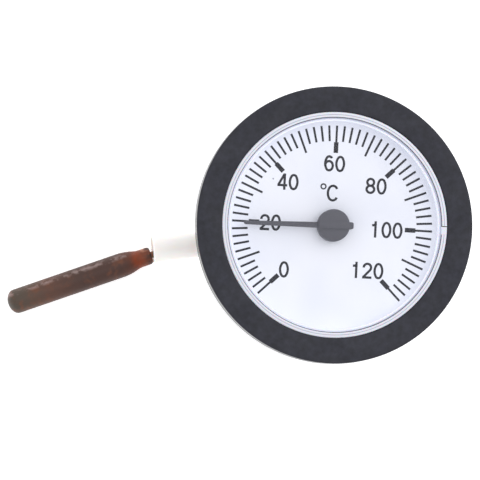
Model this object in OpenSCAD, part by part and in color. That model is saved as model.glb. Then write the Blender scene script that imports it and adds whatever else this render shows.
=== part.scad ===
// Panel-mounting capillary thermometer, 0 to 120 degrees C, with a remote bulb.
// It lies face up: +Z comes out of the dial, +Y is 12 o'clock (60 degrees), and
// the origin is on the dial's axis, in the rear face of the bezel flange, which
// is the face that seats on a panel. Millimetres.

/* [Case] */
// Outer diameter of the bezel flange
bezel_d = 66; // [65:0.5:70]
// Thickness of the bezel flange, from its front face to the panel seat
bezel_t = 5.5; // [5:0.25:7]
// Diameter of the opening in the bezel
opening_d = 53.8; // [53.6:0.1:54.2]
// Diameter of the barrel where it fills the panel's hole
barrel_d = 59.4; // [59:0.1:59.8]
// Length of that full-size stretch of the barrel
barrel_len = 6; // [5:0.5:6]
// Diameter of the rest of the barrel
barrel_rear_d = 58.2; // [57.6:0.1:58.8]
// Depth of the case behind the panel seat
case_depth = 19; // [19:0.5:20]
// Thickness of the rear wall
rear_wall = 2; // [1.6:0.1:2.4]

/* [Dial, lens and pointer] */
// Diameter of the dial plate
dial_d = 53.4; // [53:0.1:53.5]
// Thickness of the dial plate
dial_t = 0.5; // [0.4:0.1:0.6]
// Depth of the dial's face below the bezel's front face
dial_depth = 5.9; // [5.7:0.1:6.2]
// Diameter of the raised front of the lens
lens_face_d = 51.2; // [50:0.2:52]
// Temperature that the pointer shows at rest, in degrees C
rest_temp = 19.5; // [0:0.5:120]
// Length of the pointer from the axis to its tip
pointer_len = 21.4; // [20:0.1:22.5]
// Diameter of the pointer's hub
hub_d = 7.7; // [7:0.1:8.4]

/* [Movement] */
// Diameter of the spindle
spindle_d = 1.6; // [1.4:0.1:1.8]
// Radial clearance of the spindle in its bushes
spindle_gap = 0.05; // [0.03:0.01:0.1]
// Diameter of the rear bearing plate
plate_d = 38; // [37:0.5:40]
// Turns of the spiral tube
spiral_turns = 4; // [3:0.5:4.5]
// Width of the flattened spiral tube, along the spindle
spiral_w = 4; // [3.5:0.25:4.5]

/* [Retaining clips] */
// Number of spring clips around the barrel
clip_count = 3; // [3:1:3]
// Width of a clip
clip_w = 6; // [5:0.5:7]
// Thickness of the spring steel
clip_t = 0.4; // [0.3:0.05:0.5]
// How far a clip's free end stands out from the axis
clip_reach = 31.3; // [30.8:0.1:31.6]

/* [Capillary and bulb] */
// Diameter of the PVC sheathed capillary
cord_d = 2.5; // [2.5:0.1:2.6]
// Diameter of the bulb
bulb_d = 5.9; // [5.8:0.1:6.5]
// Length of the bulb with its neck
bulb_len = 36.6; // [34:0.1:40]
// Diameter of the bulb's neck
neck_d = 4.3; // [4:0.1:4.6]
// Diameter of the guard sleeve's flared mouth
sleeve_mouth_d = 6.9; // [6.7:0.1:7.2]
// Diameter of the guard sleeve beyond its flare
sleeve_d = 6.1; // [6:0.1:6.4]

/* [Hidden] */
$fn = 96;

// heights, from the lens down to the floor that the thermometer lies on
bezel_z = bezel_t;
dial_z = bezel_z - dial_depth;
lens_inner_z = dial_z + 4.8;
lens_front_z = bezel_z + 0.4;
rear_z = -case_depth;
cavity_z = rear_z + rear_wall;
coil_top_z = rear_z - 0.6;
coil_layers = 4;
tie_t = 0.4;
floor_z = coil_top_z - coil_layers * cord_d - tie_t;

// the bearing plates and what stands on them
post_h = 0.8;
base_z = cavity_z + post_h;
plate_t = 1;
bridge_top_z = dial_z - dial_t - 3.3;
bridge_z = bridge_top_z - plate_t;
pillar_r = 1.75;
pillar_x = 15;
post_ring_r = 15;
post_angles = [90, 210, 330];
spindle_r = spindle_d / 2;
bearing_r = spindle_r + spindle_gap;
bush_r = 1.8;
bush_flange_r = 2.6;
spiral_z = -12.4;
spiral_t = 0.7;
spiral_in_r = 2.5;
spiral_pitch = 1.9;
collet_r = 2;
anchor_hole = [1.1, 2.3];

// clips: each hinges about the bend in its root
clip_angles = [75, 195, 315];
clip_root_r = 29;
clip_root_z = -17 + (19 - case_depth);
clip_tip_z = -2.6;
clip_bend_r = 0.45;
pocket_r = 28.4;
pocket_w = clip_w + 1;
slot_w = clip_w + 0.6;

// the outlet, and the coil that the spare length is wound into
gland_pos = [-16, 17.5];
gland_body_r = 4.5;
cord_r = cord_d / 2;
coil_pos = [10, 0];
coil_out_r = 17.5;
coil_pitch = 2.6;
coil_turns = 10.5;
layer_turns = coil_turns / coil_layers;
coil_in_r = coil_out_r - layer_turns * coil_pitch;
ring_out_r = coil_out_r + cord_r + 0.05;
ring_in_r = coil_in_r - cord_r - 0.05;
ring_bottom_z = coil_top_z - coil_layers * cord_d;
cord_floor_z = floor_z + cord_r;

// the cord's route, from the outlet gland to the coil
LEAD = [
    [-7, 17.5, -22.2], [-4.5, 17.5, -22.15], [-2, 17.5, -21.9], [1, 17.5, -21.3],
    [4, 17.5, -20.95], [7, 17.5, -20.85], [10, 17.5, -20.85]];
// and from the coil to the bulb's end of the guard sleeve
RUN = [
    [4, -17.5, -28.5], [0.5, -17, -28.7], [-2.7, -15.6, -28.75], [-5.4, -13.2, -28.75],
    [-7.4, -10.3, -28.75], [-9.7, -7.1, -28.7], [-13, -4.75, -28.4], [-16.7, -3.5, -27.9],
    [-20.6, -3.5, -27.65], [-24.6, -4.1, -27.6], [-28.5, -4.7, -27.6], [-32.5, -5.3, -27.6],
    [-36.5, -5.9, -27.6]];

// the guard sleeve and the bulb lie on the floor
sleeve_angle = 8.4;
sleeve_mouth = [-40.65, -6.5];
sleeve_len = 20;
sleeve_flare = 10;
sleeve_wall = 0.7;
sleeve_z = floor_z + sleeve_mouth_d / 2;
bulb_angle = 202.07;
bulb_root = [-40.9, -8];
bulb_r = bulb_d / 2;
neck_r = neck_d / 2;
bulb_z = floor_z + bulb_r;
neck_len = 3.4;
shoulder_len = 3.6;
tip_len = 2.1;
bulb_wall = 0.5;
tail_r = 0.8;

/* Helpers */

// points of a circular arc about [x, y], from angle a to angle b
function arc(x, y, r, a, b, n = 8) = [
    for (i = [0 : n]) [x + r * cos(a + (b - a) * i / n), y + r * sin(a + (b - a) * i / n)]];

function unit(v) = v / norm(v);

// the direction of a route at point i
function heading(pts, i) =
    i == 0 ? unit(pts[1] - pts[0])
    : i == len(pts) - 1 ? unit(pts[i] - pts[i - 1])
    : unit(unit(pts[i + 1] - pts[i]) + unit(pts[i] - pts[i - 1]));

// one ring of a tube, square to the direction d at point p
function tube_ring(p, d, r, sides) =
    let (u = unit(cross([0, 0, 1], d)), v = cross(d, u))
    [for (k = [0 : sides - 1]) p + r * (cos(360 * k / sides) * u + sin(360 * k / sides) * v)];

module tube_along(pts, r, sides = 8) {
    rings = len(pts);
    points = [for (i = [0 : rings - 1]) each tube_ring(pts[i], heading(pts, i), r, sides)];
    skin = [for (i = [0 : rings - 2], k = [0 : sides - 1])
        let (a = i * sides + k, b = i * sides + (k + 1) % sides)
        [a, a + sides, b + sides, b]];
    first = [for (k = [0 : sides - 1]) k];
    last = [for (k = [sides - 1 : -1 : 0]) (rings - 1) * sides + k];
    polyhedron(points, concat([first], skin, [last]));
}

// a countersunk or cheese head screw that points up, its head's outer face at z = 0
module screw(head_r, head_h, shank_r, length, slot_w = 0.6) {
    difference() {
        union() {
            cylinder(r = head_r, h = head_h, $fn = 32);
            cylinder(r = shank_r, h = length, $fn = 32);
        }
        translate([-head_r - 1, -slot_w / 2, -0.1])
            cube([2 * head_r + 2, slot_w, 0.1 + head_h * 0.5]);
    }
}

module at_angles(angles, r) {
    for (a = angles)
        rotate([0, 0, a])
            translate([r, 0, 0])
                children();
}

/* Case, lens and dial */

// half section of the case: bezel flange, barrel, rear wall
module case_section() {
    edge = 0.7;
    polygon(concat(
        [[0, rear_z], [barrel_rear_d / 2 - 0.8, rear_z], [barrel_rear_d / 2, rear_z + 0.8],
            [barrel_rear_d / 2, -barrel_len - 0.6], [barrel_d / 2, -barrel_len], [barrel_d / 2, 0],
            [bezel_d / 2 - 0.4, 0], [bezel_d / 2, 0.4]],
        arc(bezel_d / 2 - edge, bezel_z - edge, edge, 0, 90, 5),
        [[opening_d / 2 + 0.4, bezel_z], [opening_d / 2, bezel_z - 0.4],
            [opening_d / 2, 2.7], [opening_d / 2 + 0.35, 2.35], [opening_d / 2 + 0.35, 1.45],
            [opening_d / 2, 1.1], [opening_d / 2, cavity_z], [0, cavity_z]]));
}

module case() {
    post_r = 3;
    rib_t = 1.6;
    rib_r = opening_d / 2 - 1.4;
    color("#3a3a40") difference() {
        union() {
            rotate_extrude($fn = 180) case_section();
            // posts for the rear bearing plate
            at_angles(post_angles, post_ring_r)
                translate([0, 0, cavity_z - 0.5])
                    cylinder(r = post_r, h = post_h + 0.5, $fn = 40);
            // ribs that the dial plate rests on
            at_angles([0, 60, 120, 180, 240, 300], rib_r)
                translate([0, -rib_t / 2, cavity_z - 0.5])
                    cube([1.9, rib_t, dial_z - dial_t - cavity_z + 0.5]);
            // blocks behind the clips' slots
            at_angles(clip_angles, opening_d / 2 - 1)
                translate([0, -pocket_w / 2 - 1, cavity_z - 0.5])
                    cube([1.6, pocket_w + 2, 2.4]);
        }
        // clip pockets, open outwards, and the slots for the clips' roots
        at_angles(clip_angles, pocket_r)
            translate([0, -pocket_w / 2, clip_root_z - 1.1])
                cube([4, pocket_w, -1 - clip_root_z + 1.1]);
        at_angles(clip_angles, clip_root_r - 2.5)
            translate([0, -slot_w / 2, clip_root_z - 0.9])
                cube([3.5, slot_w, 1.3]);
        // screw holes with counterbores
        at_angles(post_angles, post_ring_r)
            translate([0, 0, rear_z - 1]) {
                cylinder(r = 1.35, h = rear_wall + 3, $fn = 32);
                cylinder(r = 2.5, h = 2.1, $fn = 32);
            }
        // hole for the outlet gland
        translate([gland_pos[0], gland_pos[1], rear_z - 1])
            cylinder(r = 2.6, h = rear_wall + 2, $fn = 48);
    }
}

// clear cup: raised face, ledge and a skirt with a snap bead
module lens() {
    skirt_r = opening_d / 2 - 0.05;
    skirt_in_r = lens_face_d / 2 - 0.1;
    face_r = lens_face_d / 2;
    color("#e8eef5", 0.35) rotate_extrude($fn = 180)
        polygon([[0, lens_inner_z], [skirt_in_r, lens_inner_z], [skirt_in_r, dial_z],
            [skirt_r, dial_z], [skirt_r, 1.5], [skirt_r + 0.3, 1.7], [skirt_r + 0.3, 2.1],
            [skirt_r, 2.3], [skirt_r, lens_front_z - 0.4], [face_r, lens_front_z - 0.4],
            [face_r - 0.25, lens_front_z], [0, lens_front_z]]);
}

module dial_plate() {
    color("#f2f3f8") translate([0, 0, dial_z - dial_t])
        difference() {
            cylinder(d = dial_d, h = dial_t, $fn = 180);
            translate([0, 0, -1]) cylinder(r = 3.2, h = dial_t + 2, $fn = 48);
        }
}

/* Pointer and movement */

// pointer angle on the dial, counted from +X, for a temperature
function dial_angle(temp) = 225 - 270 * temp / 120;

module pointer() {
    hub_z = dial_z + 0.8;
    hub_h = 2.9;
    root_w = 1.4;
    tip_w = 0.9;
    tail = 4.7;
    rib_w = 1.66;
    color("#5c5c63") rotate([0, 0, dial_angle(rest_temp)]) difference() {
        union() {
            translate([0, 0, hub_z]) cylinder(d = hub_d, h = hub_h, $fn = 64);
            // arm, tapering to a round tip
            translate([0, 0, hub_z + 1.2])
                linear_extrude(0.9)
                    polygon(concat([[0, -root_w / 2], [pointer_len - tip_w / 2, -tip_w / 2]],
                        arc(pointer_len - tip_w / 2, 0, tip_w / 2, -75, 75, 4),
                        [[pointer_len - tip_w / 2, tip_w / 2], [0, root_w / 2]]));
            // rib across the hub, which ends in a short tail
            translate([-tail, -rib_w / 2, hub_z + 1.2]) cube([tail + hub_d / 2 - 0.3, rib_w, hub_h - 0.8]);
        }
        translate([0, 0, hub_z - 1]) cylinder(r = spindle_r, h = 2.9, $fn = 32);
    }
}

module spindle() {
    spindle_top = dial_z + 2.6;
    color("#c9ccd2") translate([0, 0, base_z + 0.2])
        cylinder(r = spindle_r, h = spindle_top - base_z - 0.2, $fn = 32);
}

module spiral_collet() {
    collet_h = spiral_w + 1.2;
    color("#c9a85a") translate([0, 0, spiral_z - 0.6]) difference() {
        cylinder(r = collet_r, h = collet_h, $fn = 40);
        translate([0, 0, -1]) cylinder(r = spindle_r, h = collet_h + 2, $fn = 32);
    }
}

// radius of the spiral's middle line after turning through angle a
function spiral_r(a) = spiral_in_r + spiral_pitch * a / 360;
spiral_end = 360 * spiral_turns;
spiral_out_r = spiral_r(spiral_end);
anchor_top_z = spiral_z + spiral_w + 0.8;

module bourdon_spiral() {
    steps = 24 * spiral_turns;
    function edge(i, side) =
        let (a = spiral_end * i / steps, r = spiral_r(a) + side * spiral_t / 2)
        [r * cos(a), r * sin(a)];
    color("#b8894a") translate([0, 0, spiral_z])
        linear_extrude(spiral_w)
            polygon(concat([for (i = [0 : steps]) edge(i, -1)], [for (i = [steps : -1 : 0]) edge(i, 1)]));
}

module spiral_anchor() {
    foot = base_z + plate_t;
    height = anchor_top_z - foot;
    color("#c9a85a") rotate([0, 0, spiral_end]) translate([spiral_out_r, 0, foot]) difference() {
        translate([-1.2, 0.1, 0]) cube([3.2, 4.4, height]);
        translate([anchor_hole[0], anchor_hole[1], height - 3.5]) cylinder(r = 0.7, h = 4, $fn = 24);
    }
}

module base_plate() {
    color("#c8b06a") translate([0, 0, base_z]) difference() {
        cylinder(d = plate_d, h = plate_t, $fn = 120);
        translate([0, 0, -1]) cylinder(r = bush_r, h = plate_t + 2, $fn = 32);
        at_angles(post_angles, post_ring_r)
            translate([0, 0, -1]) cylinder(r = 1.22, h = plate_t + 2, $fn = 32);
        // clear of the outlet gland's nut
        translate([gland_pos[0], gland_pos[1], -1]) cylinder(r = 6, h = plate_t + 2, $fn = 48);
    }
}

module bridge_plate() {
    half_w = 5;
    color("#c8b06a") translate([0, 0, bridge_z]) difference() {
        linear_extrude(plate_t)
            polygon(concat(arc(pillar_x, 0, half_w, -90, 90, 12), arc(-pillar_x, 0, half_w, 90, 270, 12)));
        translate([0, 0, -1]) cylinder(r = bush_r, h = plate_t + 2, $fn = 32);
        for (x = [-pillar_x, pillar_x])
            translate([x, 0, -1]) cylinder(r = 1.05, h = plate_t + 2, $fn = 24);
    }
}

module bridge_pillars() {
    foot = base_z + plate_t;
    color("#c9a85a") for (x = [-pillar_x, pillar_x])
        translate([x, 0, foot]) difference() {
            cylinder(r = pillar_r, h = bridge_z - foot, $fn = 32);
            translate([0, 0, bridge_z - foot - 5]) cylinder(r = 1, h = 6, $fn = 24);
        }
}

// flanged bearing bush, its flange on top
module bush(z) {
    flange_h = 0.7;
    color("#d8b860") translate([0, 0, z]) difference() {
        union() {
            cylinder(r = bush_r, h = plate_t, $fn = 32);
            translate([0, 0, plate_t]) cylinder(r = bush_flange_r, h = flange_h, $fn = 40);
        }
        translate([0, 0, -1]) cylinder(r = bearing_r, h = plate_t + flange_h + 2, $fn = 32);
    }
}

module front_bush() {
    bush(bridge_z);
}

module rear_bush() {
    bush(base_z);
}

module bridge_screws() {
    head_h = 1;
    color("#b9bcc2") for (x = [-pillar_x, pillar_x])
        translate([x, 0, bridge_top_z + head_h])
            rotate([180, 0, 0]) screw(1.8, head_h, 1, head_h + plate_t + 4);
}

module mounting_screws() {
    head_h = 1;
    color("#b9bcc2") at_angles(post_angles, post_ring_r)
        translate([0, 0, rear_z + 0.1]) screw(2.2, head_h, 1.2, base_z + plate_t + 0.3 - rear_z);
}

/* Outlet, capillary and bulb */

module outlet_gland() {
    nozzle_z = LEAD[0][2];
    nozzle_len = LEAD[0][0] - gland_pos[0];
    neck_r = 2.55;
    nut_r = 3.1;
    color("#2c2c30") union() {
        translate([gland_pos[0], gland_pos[1], rear_z - 7]) cylinder(r = gland_body_r, h = 7, $fn = 48);
        translate([gland_pos[0], gland_pos[1], rear_z - 1]) cylinder(r = neck_r, h = rear_wall + 1, $fn = 48);
        translate([gland_pos[0], gland_pos[1], cavity_z]) cylinder(r = nut_r, h = 1, $fn = 48);
        translate([gland_pos[0], gland_pos[1], nozzle_z])
            rotate([0, 90, 0]) cylinder(r1 = 2.9, r2 = 1.8, h = nozzle_len, $fn = 40);
    }
}

// bare copper tube, from the gland to the spiral's anchor
module inner_capillary() {
    r = spiral_out_r + anchor_hole[0];
    hole = [r * cos(spiral_end) - anchor_hole[1] * sin(spiral_end),
        r * sin(spiral_end) + anchor_hole[1] * cos(spiral_end), anchor_top_z];
    start = [gland_pos[0], gland_pos[1], cavity_z + 1];
    route = [start, start + [0.1, 0, 3], start + [1.2, 0, 6.6], start + [4, -0.5, 8.6],
        [-5, 16, -7], [0, 15, -6.6], [5, 12.5, -6.4], [9, 8.5, -6.3],
        hole + [0, 2.4, 1.2], hole + [0, 0.6, 0.9], hole];
    color("#b87333") tube_along(route, 0.6);
}

module capillary_lead() {
    color("#f4f2ee") tube_along(LEAD, cord_r);
}

// outer shape of the wound coil
module capillary_coil() {
    color("#f4f2ee") translate([coil_pos[0], coil_pos[1], 0]) rotate_extrude($fn = 96)
        translate([ring_in_r, ring_bottom_z])
            square([ring_out_r - ring_in_r, coil_top_z - ring_bottom_z]);
}

// three flat ties around the coil
module coil_ties() {
    tie_w = 3;
    wide = ring_out_r - ring_in_r;
    high = coil_top_z - ring_bottom_z;
    color("#2e2e33") translate([coil_pos[0], coil_pos[1], 0])
        for (a = [0, 130, 230])
            rotate([0, 0, a])
                translate([0, -tie_w / 2, ring_bottom_z])
                    difference() {
                        translate([ring_in_r - 0.8, 0, -tie_t])
                            cube([wide + 1.6, tie_w, high + 2 * tie_t]);
                        translate([ring_in_r - 0.3, -1, 0])
                            cube([wide + 0.6, tie_w + 2, high]);
                    }
}

module capillary_run() {
    color("#f4f2ee") tube_along(RUN, cord_r);
}

// clear PVC guard over the capillary's end, flared at its mouth
module guard_sleeve() {
    mouth_r = sleeve_mouth_d / 2;
    thin_r = sleeve_d / 2;
    color("#f3efe8") translate([sleeve_mouth[0], sleeve_mouth[1], sleeve_z])
        rotate([0, 0, sleeve_angle]) rotate([90, 0, 90])
            rotate_extrude($fn = 64)
                polygon([[mouth_r - sleeve_wall, 0], [mouth_r, 0], [thin_r, sleeve_flare],
                    [thin_r, sleeve_len], [thin_r - sleeve_wall, sleeve_len],
                    [thin_r - sleeve_wall, sleeve_flare]]);
}

// bare end of the capillary, between its sheath and the bulb
module capillary_tail() {
    neck_end = [bulb_root[0], bulb_root[1], bulb_z];
    into_bulb = [cos(bulb_angle), sin(bulb_angle), 0];
    last = RUN[len(RUN) - 1];
    color("#b87333") tube_along(
        [last, last + [-1.2, -0.25, 0], neck_end - 2 * into_bulb, neck_end + 0.4 * into_bulb], tail_r);
}

module along_bulb() {
    translate([bulb_root[0], bulb_root[1], bulb_z])
        rotate([0, 0, bulb_angle]) rotate([90, 0, 90])
            children();
}

// closed copper tube with a domed tip and a swaged shoulder
module bulb_shell() {
    shoulder = neck_len + shoulder_len;
    inner_r = bulb_r - bulb_wall;
    tip_start = bulb_len - tip_len;
    dome = [for (i = [1 : 6]) [bulb_r * cos(15 * i), tip_start + tip_len * sin(15 * i)]];
    hollow = [for (i = [6 : -1 : 0]) [inner_r * cos(15 * i), tip_start - 0.3 + 1.8 * sin(15 * i)]];
    color("#8a6a55") along_bulb() rotate_extrude($fn = 64)
        polygon(concat([[neck_r, neck_len - 0.4], [neck_r + 0.1, neck_len], [bulb_r - 0.15, shoulder - 0.8],
            [bulb_r, shoulder]],
            [[bulb_r, tip_start]], dome, hollow, [[inner_r, shoulder + 0.5], [neck_r - 0.5, neck_len - 0.4]]));
}

// brazed plug that closes the neck around the capillary
module bulb_neck() {
    end_r = 1.45;
    color("#c0623a") along_bulb() difference() {
        rotate_extrude($fn = 48)
            polygon(concat([[0, 0], [end_r, 0]],
                [for (i = [1 : 4]) [end_r + (neck_r - end_r) * sin(22.5 * i), 1.2 * (1 - cos(22.5 * i))]],
                [[neck_r, neck_len - 0.4], [neck_r - 0.5, neck_len - 0.4],
                    [neck_r - 0.5, neck_len + 1.2], [0, neck_len + 1.2]]));
        translate([0, 0, -1]) cylinder(r = tail_r, h = 1.5, $fn = 24);
    }
}

/* Retaining clips */

// spring steel strip: a root in the case's slot, a bend, and a leaf that stands out
module clip_at(angle) {
    foot_len = 2.2;
    lean = atan((clip_reach - clip_root_r) / (clip_tip_z - clip_root_z));
    leaf_len = norm([clip_reach - clip_root_r, clip_tip_z - clip_root_z]);
    color("#aeb2b8") rotate([0, 0, angle]) translate([clip_root_r, 0, clip_root_z]) union() {
        translate([0, clip_w / 2, 0]) rotate([90, 0, 0]) cylinder(r = clip_bend_r, h = clip_w, $fn = 24);
        translate([-foot_len, -clip_w / 2, -clip_t / 2]) cube([foot_len, clip_w, clip_t]);
        rotate([0, lean, 0])
            translate([-clip_t / 2, -clip_w / 2, 0]) cube([clip_t, clip_w, leaf_len]);
    }
}

module retaining_clip_a() {
    clip_at(clip_angles[0]);
}

module retaining_clip_b() {
    clip_at(clip_angles[1]);
}

module retaining_clip_c() {
    clip_at(clip_angles[2]);
}

case();
lens();
dial_plate();
pointer();
spindle();
spiral_collet();
bourdon_spiral();
spiral_anchor();
base_plate();
bridge_plate();
bridge_pillars();
front_bush();
rear_bush();
bridge_screws();
mounting_screws();
outlet_gland();
inner_capillary();
capillary_lead();
capillary_coil();
coil_ties();
capillary_run();
guard_sleeve();
capillary_tail();
bulb_shell();
bulb_neck();
retaining_clip_a();
retaining_clip_b();
retaining_clip_c();
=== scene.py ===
"""Looks of a dial thermometer with a remote copper bulb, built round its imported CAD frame.

Every object is in metres, in the frame of the CAD model: +Z comes out of the dial, +Y is
12 o'clock, and the origin is on the dial's axis, in the face of the bezel that seats on a
panel. Sizes in the classes are millimetres, and MM turns them to metres.
"""

import logging
import math
from collections.abc import Callable, Iterable, Iterator
from contextlib import contextmanager
from dataclasses import dataclass, field
from enum import Enum
from functools import partial
from typing import ClassVar

import bpy
from mathutils import Matrix, Vector


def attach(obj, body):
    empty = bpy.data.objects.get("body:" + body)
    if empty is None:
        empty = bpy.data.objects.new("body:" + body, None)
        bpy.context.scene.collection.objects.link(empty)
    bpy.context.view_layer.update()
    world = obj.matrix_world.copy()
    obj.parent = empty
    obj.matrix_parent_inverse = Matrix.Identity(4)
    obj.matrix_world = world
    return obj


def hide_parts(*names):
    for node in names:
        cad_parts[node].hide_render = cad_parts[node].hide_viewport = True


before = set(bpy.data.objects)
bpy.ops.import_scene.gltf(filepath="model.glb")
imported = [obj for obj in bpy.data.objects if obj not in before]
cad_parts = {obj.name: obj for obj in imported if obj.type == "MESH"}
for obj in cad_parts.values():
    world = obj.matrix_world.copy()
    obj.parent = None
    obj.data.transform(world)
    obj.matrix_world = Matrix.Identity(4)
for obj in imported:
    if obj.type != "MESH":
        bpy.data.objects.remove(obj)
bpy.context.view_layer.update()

MM = 0.001
log = logging.getLogger("thermometer")

Point = tuple[float, float, float]
Outline = list[tuple[float, float]]
Piece = bpy.types.Object
Face = bpy.types.MeshPolygon
Tree = bpy.types.NodeTree
Node = bpy.types.Node
Socket = bpy.types.NodeSocket


# ---------------------------------------------------------------- modelling bench


class Joining(Enum):
    """How one closed solid is combined with another."""

    UNION = "UNION"
    CUT = "DIFFERENCE"


def arc(centre: tuple[float, float], radius: float, start: float, end: float, steps: int = 6,
        height: float | None = None) -> Outline:
    """Points of an arc of a circle, or of an ellipse that lies level.

    Args:
        centre: Middle of the arc.
        radius: Radius of the arc.
        start: Angle of the first point, in degrees.
        end: Angle of the last point, in degrees.
        steps: Number of chords.
        height: Half height of an ellipse, if it isn't the radius.

    Returns:
        The arc's points, steps + 1 of them.
    """
    tall = radius if height is None else height
    angles = [math.radians(start + (end - start) * i / steps) for i in range(steps + 1)]
    return [(centre[0] + radius * math.cos(a), centre[1] + tall * math.sin(a)) for a in angles]


def clear_bench() -> None:
    """Go back to object mode with nothing selected."""
    if bpy.context.object and bpy.context.object.mode != "OBJECT":
        bpy.ops.object.mode_set(mode="OBJECT")
    bpy.ops.object.select_all(action="DESELECT")


def pick_up(*pieces: Piece) -> None:
    """Select only these pieces, the first of them active."""
    clear_bench()
    for piece in pieces:
        piece.select_set(True)
    bpy.context.view_layer.objects.active = pieces[0]


@contextmanager
def editing(piece: Piece, wanted: Callable[[Face], bool] | None = None) -> Iterator[None]:
    """Edit one piece, with all of it selected or only some of its faces.

    Args:
        piece: The mesh to edit.
        wanted: Test that the faces to select pass, by their place or normal in metres.
    """
    pick_up(piece)
    bpy.ops.object.mode_set(mode="EDIT")
    bpy.ops.mesh.select_mode(type="FACE" if wanted else "VERT")
    bpy.ops.mesh.select_all(action="DESELECT" if wanted else "SELECT")
    if wanted:
        bpy.ops.object.mode_set(mode="OBJECT")
        for face in piece.data.polygons:
            face.select = wanted(face)
        bpy.ops.object.mode_set(mode="EDIT")
    yield
    bpy.ops.object.mode_set(mode="OBJECT")


def from_axis(face: Face) -> float:
    """Distance of a face's middle from the dial's axis, in millimetres."""
    return math.hypot(face.center.x, face.center.y) / MM


def start_vertex(name: str, place: Point) -> Piece:
    """Collapse a small square to one selected vertex, the start of an outline.

    Args:
        name: Name of the new piece.
        place: Where the vertex is, in millimetres.

    Returns:
        The new piece, left in edit mode.
    """
    clear_bench()
    bpy.ops.mesh.primitive_plane_add(size=MM, location=Vector(place) * MM)
    bpy.ops.object.transform_apply()
    piece = bpy.context.object
    piece.name = name
    bpy.ops.object.mode_set(mode="EDIT")
    bpy.ops.mesh.select_mode(type="VERT")
    bpy.ops.mesh.select_all(action="SELECT")
    bpy.ops.mesh.merge(type="CENTER")
    return piece


def push(step: Iterable[float]) -> None:
    """Extrude what is selected by a step in millimetres."""
    bpy.ops.mesh.extrude_region_move(TRANSFORM_OT_translate={"value": Vector(step) * MM})


def swing(steps: int, angle: float, centre: Vector, copies: bool = False) -> None:
    """Spin the selection about Z, or copy it round.

    Args:
        steps: Number of steps.
        angle: Whole angle in degrees, anticlockwise; the operator itself counts clockwise.
        centre: Place of the axis in millimetres.
        copies: Whether to leave separate copies and not a swept strip.
    """
    bpy.ops.mesh.spin(steps=steps, angle=-math.radians(angle), center=centre * MM, axis=(0, 0, 1),
                      dupli=copies)


def tidy_mesh(piece: Piece) -> None:
    """Merge doubled vertices and turn the faces outwards."""
    with editing(piece):
        bpy.ops.mesh.remove_doubles(threshold=MM * 0.001)
        bpy.ops.mesh.normals_make_consistent(inside=False)


def turn_on_lathe(name: str, outline: Outline, segments: int = 96) -> Piece:
    """Turn an outline of radius and height round the Z axis.

    Args:
        name: Name of the new piece.
        outline: Radius and height of each point, in millimetres, in order.
        segments: Number of steps round the axis.

    Returns:
        The turned piece, closed where the outline is closed or ends on the axis.
    """
    piece = start_vertex(name, (outline[0][0], 0, outline[0][1]))
    for before, after in zip(outline, outline[1:]):
        push((after[0] - before[0], 0, after[1] - before[1]))
    bpy.ops.mesh.select_all(action="SELECT")
    bpy.ops.mesh.spin(steps=segments, angle=math.tau, center=(0, 0, 0), axis=(0, 0, 1))
    tidy_mesh(piece)
    return piece


def block(name: str, low: Point, high: Point) -> Piece:
    """A rectangular block between two corners, in millimetres, to be shaped or cut with."""
    clear_bench()
    bpy.ops.mesh.primitive_cube_add(size=1)
    piece = bpy.context.object
    piece.name = name
    piece.scale = (Vector(high) - Vector(low)) * MM
    piece.location = (Vector(high) + Vector(low)) / 2 * MM
    bpy.ops.object.transform_apply()
    return piece


def place(piece: Piece, matrix: Matrix) -> Piece:
    """Move a piece by a matrix in metres and put the move into its mesh."""
    pick_up(piece)
    piece.matrix_world = matrix
    bpy.ops.object.transform_apply()
    return piece


def turned(angle: float, axis: str = "Z") -> Matrix:
    """Rotation matrix for an angle in degrees about an axis of the frame."""
    return Matrix.Rotation(math.radians(angle), 4, axis)


def shifted(x: float, y: float, z: float) -> Matrix:
    """Translation matrix for a step in millimetres."""
    return Matrix.Translation(Vector((x, y, z)) * MM)


def copy_of(piece: Piece, name: str, matrix: Matrix) -> Piece:
    """Copy a piece with a mesh of its own and place the copy.

    Args:
        piece: What is copied.
        name: Name of the copy.
        matrix: Where the copy goes, in metres.

    Returns:
        The copy.
    """
    pick_up(piece)
    bpy.ops.object.duplicate(linked=False)
    twin = bpy.context.object
    twin.name = name
    return place(twin, matrix)


def ring_of(pattern: Piece, angles: Iterable[float], out: float = 0) -> list[Piece]:
    """Use up a pattern in copies round the dial's axis.

    Args:
        pattern: What is copied, as it lies at 0 degrees.
        angles: Where the copies go, in degrees.
        out: Their step away from the axis, in millimetres.

    Returns:
        The copies.
    """
    copies = [copy_of(pattern, pattern.name, turned(angle) @ shifted(out, 0, 0)) for angle in angles]
    bpy.data.objects.remove(pattern)
    return copies


def join(name: str, pieces: list[Piece]) -> Piece:
    """Make several meshes one piece, without welding them."""
    pick_up(*pieces)
    bpy.ops.object.join()
    pieces[0].name = name
    return pieces[0]


def modify(piece: Piece, kind: str, **settings: object) -> None:
    """Put a modifier on a piece with its settings and apply it."""
    pick_up(piece)
    bpy.ops.object.modifier_add(type=kind)
    modifier = piece.modifiers[-1]
    for name, value in settings.items():
        setattr(modifier, name, value)
    bpy.ops.object.modifier_apply(modifier=modifier.name)


def combine(piece: Piece, tools: Iterable[Piece], how: Joining) -> None:
    """Join closed solids onto a piece, or cut them out of it, and use them up.

    Args:
        piece: The solid that stays.
        tools: The solids that are joined on or cut out.
        how: Whether they are joined on or cut out.
    """
    for tool in tools:
        modify(piece, "BOOLEAN", operation=how.value, solver="EXACT", object=tool)
        bpy.data.objects.remove(tool)


def soften_edges(piece: Piece, width: float, angle: float = 30) -> None:
    """Round a piece's edges that are sharper than an angle in degrees, by a width in millimetres."""
    modify(piece, "BEVEL", width=width * MM, segments=2, limit_method="ANGLE",
           angle_limit=math.radians(angle))


# ---------------------------------------------------------------- finishes


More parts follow.
